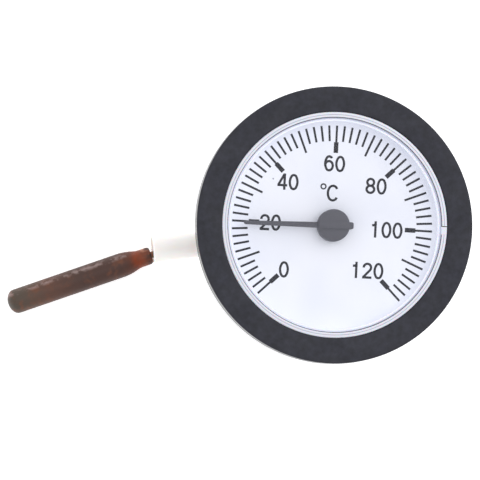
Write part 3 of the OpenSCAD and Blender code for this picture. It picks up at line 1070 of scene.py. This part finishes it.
@dataclass
class CaseMoulding:
    """One-piece ABS case: bezel flange, barrel with clip pockets, and rear wall with counterbores."""

    bezel_radius: float = 33
    bezel_front: float = 5.5
    edge: float = 0.4
    opening: float = 26.9
    barrel: float = 29.7
    barrel_length: float = 6
    rear_barrel: float = 29.1
    rear: float = -19
    floor: float = -17
    clip_angles: tuple[float, ...] = (75, 195, 315)
    pocket: tuple[Point, Point] = ((28.4, -3.5, -18.1), (32.4, 3.5, -1))
    root_slot: tuple[Point, Point] = ((26.5, -3.3, -17.9), (30, 3.3, -16.6))
    screw_angles: tuple[float, ...] = (90, 210, 330)
    screw_ring: float = 15
    gland: tuple[float, float] = (-16, 17.5)
    rib_angles: tuple[float, ...] = (0, 60, 120, 180, 240, 300)
    dial_underside: float = -0.9
    segments: int = 192

    def outline(self) -> Outline:
        """Half section of the case, from the middle of its rear face round to its cavity floor."""
        out, front, e = self.bezel_radius, self.bezel_front, self.edge
        rim = arc((out - e, front - e), e, 0, 90, 8)
        lip = arc((self.opening + 0.45, front - 0.45), 0.45, 90, 180, 5)
        rear_ring = [(23.2, self.rear), (23.5, self.rear + 0.35), (24.1, self.rear + 0.35), (24.4, self.rear)]
        return [(0, self.rear), *rear_ring, (self.rear_barrel - 0.8, self.rear),
                (self.rear_barrel, self.rear + 0.8), (self.rear_barrel, -self.barrel_length - 0.6),
                (self.barrel, -self.barrel_length), (self.barrel, 0), (out - 0.4, 0), (out, 0.4),
                (out, 1.45), (out - 0.08, 1.55), (out, 1.65), *rim, *lip,
                (self.opening, 2.7), (self.opening + 0.35, 2.35), (self.opening + 0.35, 1.45),
                (self.opening, 1.1), (self.opening, self.floor), (0, self.floor)]

    def clip_pockets(self) -> list[Piece]:
        """Cutters for the pockets that the clips fold into, and for the slots of their roots."""
        return [place(block("clip_cutter", *corners), turned(angle))
                for angle in self.clip_angles for corners in (self.pocket, self.root_slot)]

    def holes(self) -> list[Piece]:
        """Cutters for the counterbored screw holes and the gland's hole."""
        screw = turn_on_lathe("screw_cutter", [(0, -20), (2.5, -20), (2.5, -17.9), (1.35, -17.9), (1.35, -15),
                                               (0, -15)], 32)
        gland = turn_on_lathe("gland_cutter", [(0, -20), (2.6, -20), (2.6, -16), (0, -16)], 48)
        return [*ring_of(screw, self.screw_angles, self.screw_ring), place(gland, shifted(*self.gland, 0))]

    def stands(self) -> list[Piece]:
        """The posts under the movement, the ribs that the dial rests on, and the slots' backings."""
        sunk, wall = self.floor - 0.5, self.opening
        post = turn_on_lathe("post", [(0, sunk), (3, sunk), (3, -16.4), (2.8, -16.2), (0, -16.2)], 40)
        rib = block("rib", (wall - 1.4, -0.8, sunk), (wall + 0.5, 0.8, self.dial_underside))
        backing = block("slot_backing", (wall - 1, -4.5, sunk), (wall + 0.6, 4.5, self.floor + 1.9))
        return [*ring_of(post, self.screw_angles, self.screw_ring), *ring_of(rib, self.rib_angles),
                *ring_of(backing, self.clip_angles)]

    def build(self) -> Piece:
        """Turn the case, add its stands, cut its holes and give each surface the mould's finish."""
        case = turn_on_lathe("case_moulding", self.outline(), self.segments)
        combine(case, self.stands(), Joining.UNION)
        combine(case, self.clip_pockets() + self.holes(), Joining.CUT)
        settle(case, "gauge", "case_black", ["case"], 28, BEZEL_BLACK, RIM_BLACK)
        dress_faces(case, 1, lambda face: abs(face.normal.z) < 0.3 and face.center.z > 0
                    and from_axis(face) > self.bezel_radius - 0.2)
        return case


@dataclass
class LensCover:
    """Clear acrylic cover: a raised window, a thin gap round it, a satin ledge and a skirt with a bead."""

    window: float = 25.5
    front: float = 5.9
    ledge: float = 5.5
    skirt: float = 26.85
    skirt_inside: float = 25.35
    inner_face: float = 4.4
    foot: float = -0.4
    gap_width: float = 0.19
    gap_depth: float = 0.4
    mould_line: Point = (26.32, 26.22, 26.12)
    tab_half: float = 0.9

    def outline(self) -> Outline:
        """Section from the middle of the inner face, round the skirt, to the middle of the front."""
        gap_out = self.window + self.gap_width
        gap_floor = self.ledge - self.gap_depth
        inside = arc((self.skirt_inside - 0.5, self.inner_face - 0.5), 0.5, 90, 0, 5)
        outer = [(self.skirt, self.foot), (self.skirt, 1.5), (self.skirt + 0.3, 1.7),
                 (self.skirt + 0.3, 2.1), (self.skirt, 2.3)]
        line_out, line_middle, line_in = self.mould_line
        ledge = [*arc((self.skirt - 0.2, self.ledge - 0.2), 0.2, 0, 90, 3), (line_out, self.ledge),
                 (line_middle, self.ledge - 0.12), (line_in, self.ledge), (gap_out + 0.06, self.ledge),
                 (gap_out, self.ledge - 0.08)]
        rim = arc((self.window - 0.25, self.front - 0.25), 0.25, 0, 90, 4)
        return [(0, self.inner_face), *inside, (self.skirt_inside, self.foot), *outer, *ledge,
                (gap_out, gap_floor), (self.window, gap_floor), *rim, (0, self.front)]

    def build(self) -> Piece:
        """Turn the cover, fill the gap at the locating tab and cut the slit beside it."""
        lens = turn_on_lathe("lens_cover", self.outline(), 192)
        tab = block("locating_tab", (self.window - 0.1, -self.tab_half, 4.5),
                    (self.skirt - 0.25, self.tab_half, self.ledge + 0.02))
        combine(lens, [tab], Joining.UNION)
        slit = block("tab_slit", (self.window + 0.02, self.tab_half, self.ledge - 0.5),
                     (self.skirt - 0.1, self.tab_half + 0.2, self.ledge + 0.5))
        combine(lens, [slit], Joining.CUT)
        settle(lens, "gauge", "clear_lens", ["lens"], 30, LENS_CLEAR, LENS_FROSTED, LENS_GAP_SHADE, LENS_WALL_GLOW,
               LENS_LINE_SHADE)
        # the gap and the mould line are dressed in painted shade, and the skirt in a painted glow
        for slot, test in enumerate((self.is_satin, self.is_gap, self.is_skirt, self.is_line), 1):
            dress_faces(lens, slot, test)
        return lens

    def is_satin(self, face: Face) -> bool:
        """Whether a face is on the ledge or the tab."""
        return from_axis(face) > self.window + 0.01

    def is_skirt(self, face: Face) -> bool:
        """Whether a face is on the skirt, which stands round the dial below the window."""
        return from_axis(face) > self.skirt_inside - 0.6 and face.center.z < self.inner_face * MM

    def is_line(self, face: Face) -> bool:
        """Whether a face is in the mould line round the ledge."""
        low, _, high = sorted(self.mould_line)
        return low < from_axis(face) < high and abs(face.center.z / MM - self.ledge + 0.06) < 0.03

    def is_gap(self, face: Face) -> bool:
        """Whether a face is inside the gap or on the slit beside the tab."""
        radius, across, depth = from_axis(face), face.center.y / MM, self.ledge - face.center.z / MM
        in_gap = (-0.02 < radius - self.window < self.gap_width + 0.02 and abs(depth - self.gap_depth) < 0.05
                  and not (abs(across) < self.tab_half and face.center.x > 0))
        in_slit = (radius > self.window and face.center.x > 0 and 0.01 < depth < 0.55
                   and -0.01 < across - self.tab_half < 0.21)
        return in_gap or in_slit


class Pen:
    """A pen of constant width that draws strokes by extruding and spinning the edge of its nib."""

    def __init__(self, width: float) -> None:
        """Take up a pen.

        Args:
            width: Width of its strokes in millimetres.
        """
        self.width = width
        self.strokes: list[Piece] = []
        self.at = Vector((0, 0, 0))
        self.heading = 0.0

    def ahead(self) -> Vector:
        """Unit vector along the heading."""
        return Vector((math.cos(self.heading), math.sin(self.heading), 0))

    def left(self) -> Vector:
        """Unit vector to the left of the heading."""
        return Vector((-math.sin(self.heading), math.cos(self.heading), 0))

    def touch(self, x: float, y: float, heading: float) -> "Pen":
        """Start a stroke at a point in millimetres, with a heading in degrees."""
        self.at = Vector((x, y, 0))
        self.heading = math.radians(heading)
        side = self.left() * self.width
        self.strokes.append(start_vertex("stroke", tuple(self.at - side / 2)))
        push(side)
        bpy.ops.mesh.select_all(action="SELECT")
        return self

    def line(self, length: float) -> "Pen":
        """Draw straight on for a length in millimetres."""
        push(self.ahead() * length)
        self.at += self.ahead() * length
        return self

    def bend(self, radius: float, angle: float) -> "Pen":
        """Draw an arc, to the left for a positive angle in degrees and to the right for a negative one."""
        turn = math.radians(angle)
        side = self.left() * math.copysign(radius, turn)
        centre = self.at + side
        steps = max(2, int(abs(angle) / 7.5))
        swing(steps, angle, centre)
        self.at = centre + Matrix.Rotation(turn, 3, "Z") @ -side
        self.heading += turn
        return self

    def oval(self, half_width: float, half_height: float, quarters: int, way: int = 1) -> "Pen":
        """Draw quarters of an oval from where it is lowest, highest or widest.

        Each quarter has a sharper arc at the top or bottom and a flatter one at the side.

        Args:
            half_width: Half of the oval's width.
            half_height: Half of its height.
            quarters: How many quarters to draw.
            way: 1 to go anticlockwise, -1 to go clockwise.

        Returns:
            The pen.
        """
        # the two arcs of a quarter meet where the flatter one has turned 30 degrees
        tight = (half_width - (2 - math.sqrt(3)) * half_height) / (math.sqrt(3) - 1)
        flat = 2 * half_height - tight
        for _ in range(quarters):
            level = abs(math.cos(self.heading)) > 0.5
            for radius, angle in ((tight, 60), (flat, 30)) if level else ((flat, 30), (tight, 60)):
                self.bend(radius, way * angle)
        return self

    def lift(self, name: str) -> Piece:
        """Finish the glyph: give each stroke a film of ink and join the strokes."""
        for layer, stroke in enumerate(self.strokes):
            tidy_mesh(stroke)
            with editing(stroke):
                # each stroke of a glyph is a little thicker, so that their crossings don't flicker
                push((0, 0, 0.02 + 0.004 * layer))
                bpy.ops.mesh.select_all(action="SELECT")
                bpy.ops.mesh.normals_make_consistent(inside=False)
        return join(name, self.strokes)


@dataclass
class DialPrint:
    """Scale printed on the dial: 61 marks over 270 degrees, the numerals, and the unit."""

    surface: float = -0.4
    film: float = 0.02
    outer: float = 24.05
    minor_inner: float = 20.3
    ten_inner: float = 18.5
    bar_inner: float = 17.5
    bar_outer: float = 20.05
    mark_width: float = 0.5
    bar_width: float = 1.08
    first_angle: float = 225
    sweep: float = -270
    steps: int = 60
    numeral_height: float = 3.9
    numeral_width: float = 2.4
    numeral_pitch: float = 2.68
    pen: float = 0.56
    labels: tuple[tuple[str, float, float], ...] = (
        ("0", -11.05, -11.0), ("20", -14.85, 0.05), ("40", -11.1, 9.95), ("60", -0.15, 14.92),
        ("80", 10.08, 10.1), ("100", 13.08, -0.25), ("120", 8.95, -10.17))
    letter_place: tuple[float, float] = (-0.22, 7.86)
    ring_place: tuple[float, float] = (-2.55, 9.33)
    dimple_place: tuple[float, float] = (-14.7, 10.5)

    def mark(self, name: str, inner: float, outer: float, width: float) -> Piece:
        """One mark along X between two radii, divided once so that it isn't a bare block."""
        mark = block(name, (inner, -width / 2, self.surface), (outer, width / 2, self.surface + self.film))
        with editing(mark):
            bpy.ops.mesh.subdivide(number_cuts=1)
        return mark

    def fan(self, mark: Piece, start: float, sweep: float, steps: int) -> Piece:
        """Copy a mark round the dial from a start angle over a sweep, both in degrees."""
        place(mark, turned(start))
        with editing(mark):
            swing(steps, sweep, Vector((0, 0, 0)), copies=True)
        return mark

    def marks(self) -> Piece:
        """Every second degree, each tenth longer, and each twentieth with a broad bar."""
        every = self.sweep / self.steps
        minor = self.mark("scale_marks", self.minor_inner, self.outer, self.mark_width)
        ten = self.mark("ten", self.ten_inner, self.minor_inner, self.mark_width)
        bar = self.mark("bar", self.bar_inner, self.bar_outer, self.bar_width)
        neck = self.mark("neck", self.bar_outer, self.minor_inner, self.mark_width)
        fans = [self.fan(minor, self.first_angle, self.sweep, self.steps),
                self.fan(ten, self.first_angle + 5 * every, self.sweep - 10 * every, 5),
                self.fan(bar, self.first_angle, self.sweep, 6),
                self.fan(neck, self.first_angle, self.sweep, 6)]
        marks = join("scale_marks", fans)
        return settle(marks, "gauge", "dial_white", [], 0, DIAL_INK)

    def zero(self) -> Piece:
        """The figure 0: one whole oval."""
        w, h = self.half_sizes()
        return Pen(self.pen).touch(0, h, 180).oval(w, h, 4).lift("zero")

    def half_sizes(self) -> tuple[float, float]:
        """Half the width and height of a figure along the middle of its stroke."""
        return (self.numeral_width - self.pen) / 2, (self.numeral_height - self.pen) / 2

    def one(self) -> Piece:
        """The figure 1: an upright and a short curved flag."""
        _, h = self.half_sizes()
        pen = Pen(self.pen).touch(0.02, h + self.pen / 2, 270).line(self.numeral_height)
        pen.touch(-0.82, 0.98, 0).line(0.28).bend(0.55, 78)
        return pen.lift("one")

    def two(self) -> Piece:
        """The figure 2: a hook, a slanting neck and a base."""
        w, h = self.half_sizes()
        bowl = w - 0.04
        pen = Pen(self.pen).touch(-bowl, h - bowl - 0.12, 90).line(0.06)
        pen.bend(bowl, -180).bend(bowl + 0.05, -42).line(2.36)
        pen.touch(-w - 0.24, -h, 0).line(2 * w + 0.4)
        return pen.lift("two")

    def four(self) -> Piece:
        """The figure 4: an upright, a slant and a crossbar."""
        _, h = self.half_sizes()
        bar_y = -0.86
        left, stem = -0.98, 0.5
        slant = math.degrees(math.atan2(h + 0.1 - bar_y, stem - 0.1 - left))
        pen = Pen(self.pen).touch(stem, h + self.pen / 2, 270).line(self.numeral_height)
        pen.touch(left, bar_y, slant).line(math.hypot(h + 0.1 - bar_y, stem - 0.1 - left))
        pen.touch(left - 0.18, bar_y, 0).line(2.32)
        return pen.lift("four")

    def six(self) -> Piece:
        """The figure 6: a tall left side that hooks over, and a round bowl."""
        w, h = self.half_sizes()
        bowl = 1.1
        pen = Pen(self.pen).touch(-w, 0, 90).oval(w, h, 1, -1).bend(0.68, -68)
        pen.touch(-w, 0, 270).oval(w, h, 1).oval(w, bowl, 3)
        return pen.lift("six")

    def eight(self) -> Piece:
        """The figure 8: a smaller oval on a larger one."""
        w, h = self.half_sizes()
        upper = 0.82
        pen = Pen(self.pen).touch(0, h, 180).oval(w - 0.12, upper, 4)
        pen.touch(0, h - 2 * upper, 180).oval(w, h - upper, 4)
        return pen.lift("eight")

    def unit(self) -> list[Piece]:
        """The letter C and the degree ring before it, in place."""
        w, h = 1.2, 1.74
        letter = Pen(self.pen).touch(-w, 0, 90).oval(w, h, 1, -1).bend(0.98, -68).line(0.12)
        letter.touch(-w, 0, 270).oval(w, h, 1).bend(0.98, 68).line(0.12)
        ring = Pen(0.34).touch(0, 0.58, 180).bend(0.58, 180).bend(0.58, 180)
        return [place(letter.lift("letter_c"), shifted(*self.letter_place, self.surface)),
                place(ring.lift("degree_ring"), shifted(*self.ring_place, self.surface))]

    def numerals(self) -> Piece:
        """Draw each figure once, and copy the figures to their places inside the marks."""
        figures = {"0": self.zero(), "1": self.one(), "2": self.two(), "4": self.four(), "6": self.six(),
                   "8": self.eight()}
        pitch = self.numeral_pitch
        pieces = self.unit()
        for text, x, y in self.labels:
            start = x - pitch * (len(text) - 1) / 2
            pieces += [copy_of(figures[figure], "figure", shifted(start + pitch * i, y, self.surface))
                       for i, figure in enumerate(text)]
        for figure in figures.values():
            bpy.data.objects.remove(figure)
        numerals = join("scale_numerals", pieces)
        return settle(numerals, "gauge", "dial_white", [], 0, DIAL_INK)

    def dimple(self) -> Piece:
        """A small punch mark beside the 40: a nearly flat grey disc whose grey is painted shade of the dent.
        """
        mark = turn_on_lathe("dial_dimple", [(0, 0.012), (0.12, 0.014), (0.2, 0.004), (0.21, 0), (0, 0)], 20)
        with editing(mark):  # so small a piece comes out of the recalculation facing inwards
            bpy.ops.mesh.flip_normals()
        place(mark, shifted(*self.dimple_place, self.surface))
        return settle(mark, "gauge", "dial_white", [], 35, DIMPLE_SHADE)


@dataclass
class Pointer:
    """Moulded pointer: a hub cap, a tapering arm, and a rib across the cap that ends in a tail."""

    rest_angle: float = 225 - 270 * 19.5 / 120
    hub_radius: float = 3.85
    hub_bottom: float = 0.4
    hub_top: float = 3.3
    rib_top: float = 3.7
    rib_width: float = 1.66
    tail: float = 4.7
    arm_bottom: float = 1.6
    arm_top: float = 2.5
    root_width: float = 1.4
    tip_width: float = 0.9
    length: float = 21.4
    bore: float = 0.8

    def arm(self) -> Piece:
        """Stretch a block along X, taper it to its tip and round the tip."""
        reach = self.length - self.tip_width / 2
        half = self.root_width / 2
        arm = block("arm", (1.5, -half, self.arm_bottom), (reach, half, self.arm_top))
        with editing(arm, lambda face: face.normal.x > 0.9):
            bpy.ops.transform.resize(value=(1, self.tip_width / self.root_width, 1))
            for share, narrower in ((0.7, 0.72), (0.3, 0.35)):
                push((self.tip_width / 2 * share, 0, 0))
                bpy.ops.transform.resize(value=(1, narrower, 1))
        return arm

    def hub(self) -> Piece:
        """Turn the hub cap with its bore and a small edge radius."""
        edge = arc((self.hub_radius - 0.2, self.hub_top - 0.2), 0.2, 0, 90, 4)
        return turn_on_lathe("pointer_moulding", [
            (0, 2.3), (self.bore, 2.3), (self.bore, self.hub_bottom), (self.hub_radius, self.hub_bottom),
            *edge, (0, self.hub_top)], 96)

    def rib(self) -> Piece:
        """Block of the rib, its tail end drawn in to a rounded stub."""
        half = self.rib_width / 2
        rib = block("rib", (0.45 - self.tail, -half, self.arm_bottom),
                    (self.hub_radius - 0.3, half, self.rib_top))
        with editing(rib, lambda face: face.normal.x < -0.9):
            for step, narrower, lower in ((0.3, 0.86, 0.93), (0.15, 0.72, 0.9)):
                push((-step, 0, 0))
                bpy.ops.transform.resize(value=(1, narrower, lower))
        return rib

    def build(self) -> Piece:
        """Join the three, soften their edges and turn them to the reading at rest."""
        pointer = self.hub()
        combine(pointer, [self.arm(), self.rib()], Joining.UNION)
        soften_edges(pointer, 0.07, 40)
        place(pointer, turned(self.rest_angle))
        return settle(pointer, "pointer_shaft", "pointer_grey", ["pointer"], 40, POINTER_GREY)


@dataclass
class RetainingClips:
    """Three spring steel strips that fold into the barrel's pockets."""

    angles: dict[str, float] = field(default_factory=lambda: {"a": 75, "b": 195, "c": 315})
    root: tuple[float, float] = (29, -17)
    tip: tuple[float, float] = (31.3, -2.6)
    foot: float = 2.2
    bend: float = 0.5
    width: float = 6
    thick: float = 0.4

    def strip(self) -> Piece:
        """Draw the strip's edge from its foot, round the bend, up the leaf, and give it its thickness."""
        root_x, root_z = self.root
        lean = math.atan2(self.tip[0] - root_x, self.tip[1] - root_z)
        leaf = math.hypot(self.tip[0] - root_x, self.tip[1] - root_z)
        bend = self.bend
        route = [(root_x - self.foot, root_z), (root_x - bend, root_z)]
        route += arc((root_x - bend, root_z + bend), bend, -70, -30, 2)
        route += [(root_x + leaf * share * math.sin(lean), root_z + leaf * share * math.cos(lean))
                  for share in (0.1, 0.35, 0.65, 0.95, 1.0)]
        strip = start_vertex("clip_strip", (route[0][0], -self.width / 2, route[0][1]))
        push((0, self.width, 0))
        bpy.ops.mesh.select_all(action="SELECT")
        for before, after in zip(route, route[1:]):
            push((after[0] - before[0], 0, after[1] - before[1]))
        bpy.ops.object.mode_set(mode="OBJECT")
        tidy_mesh(strip)
        modify(strip, "SOLIDIFY", thickness=self.thick * MM, offset=0)
        soften_edges(strip, 0.08)
        return strip

    def build(self) -> list[Piece]:
        """Copy the strip to its three pockets, each copy on its own clip's body."""
        pattern = self.strip()
        clips = []
        for letter, angle in self.angles.items():
            clip = copy_of(pattern, f"clip_strip_{letter}", turned(angle))
            clips.append(settle(clip, f"clip_{letter}", "spring_steel", [f"retaining_clip_{letter}"], 40,
                                SPRING_STEEL))
        bpy.data.objects.remove(pattern)
        return clips


@dataclass
class Movement:
    """The CAD pieces inside the case and at its back, which keep their shape and get their metals."""

    metals: dict[str, Finish] = field(default_factory=lambda: {
        "spindle": STEEL, "spiral_collet": TURNED_BRASS, "bourdon_spiral": BRONZE,
        "spiral_anchor": TURNED_BRASS, "base_plate": BRASS, "bridge_plate": BRASS,
        "bridge_pillars": TURNED_BRASS, "front_bush": TURNED_BRASS, "rear_bush": TURNED_BRASS,
        "bridge_screws": ZINC, "mounting_screws": ZINC, "inner_capillary": TUBE_COPPER,
        "capillary_tail": TAIL_COPPER, "dial_plate": DIAL_WHITE})

    def dress(self) -> None:
        """Give each CAD node its finish."""
        for node, finish in self.metals.items():
            dress(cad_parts[node], finish)
            log.info("%s: dressed as %s", node, finish.name)


def main() -> None:
    """Build and dress the pieces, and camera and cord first."""
    logging.basicConfig(level=logging.INFO, format="%(message)s")
    clear_bench()
    studio = Studio()
    studio.camera()
    capillary = Capillary()
    cord = capillary.build()
    studio.lights()
    studio.floor()
    sleeve = GuardSleeve().build()
    bulb = Bulb()
    tube = bulb.tube()
    plug = bulb.plug()
    ties = CoilTies().build()
    OutletGland().build()
    CaseMoulding().build()
    LensCover().build()
    scale = DialPrint()
    scale.marks()
    scale.numerals()
    scale.dimple()
    Pointer().build()
    RetainingClips().build()
    Movement().dress()
    clear_bench()


if __name__ == "__main__":
    main()
